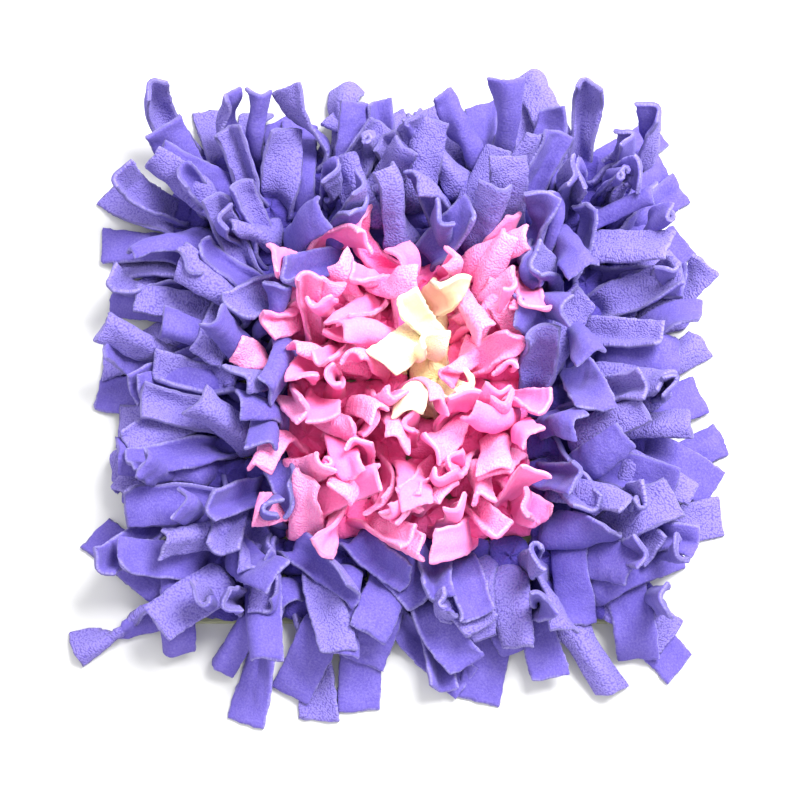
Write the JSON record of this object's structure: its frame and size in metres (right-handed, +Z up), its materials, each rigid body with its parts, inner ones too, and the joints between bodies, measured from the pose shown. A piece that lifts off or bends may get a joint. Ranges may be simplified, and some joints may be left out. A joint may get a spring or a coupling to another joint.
{
  "type": "snuffle mat",
  "caption": "Pet feeding mat: fleece strips knotted over a square rubber lattice, with loose tails that hide dry food and lie out round the rim.",
  "frame": {"origin": "the centre of the lattice's flat underside, which rests on the floor", "axes": "+Z up out of the floor, through the tails; +X and +Y along the lattice's sides, with the pink block longer along Y"},
  "size_m": [0.406, 0.427, 0.0809],
  "materials": {
    "rubber": "satin",
    "purple_fleece": "soft brushed fleece",
    "pink_fleece": "soft brushed fleece",
    "cream_fleece": "soft brushed fleece"
  },
  "bodies": {
    "root": {"base_mat": "rubber", "purple_tails": "purple_fleece", "pink_tails": "pink_fleece", "cream_tails": "cream_fleece"}
  },
  "joints": []
}
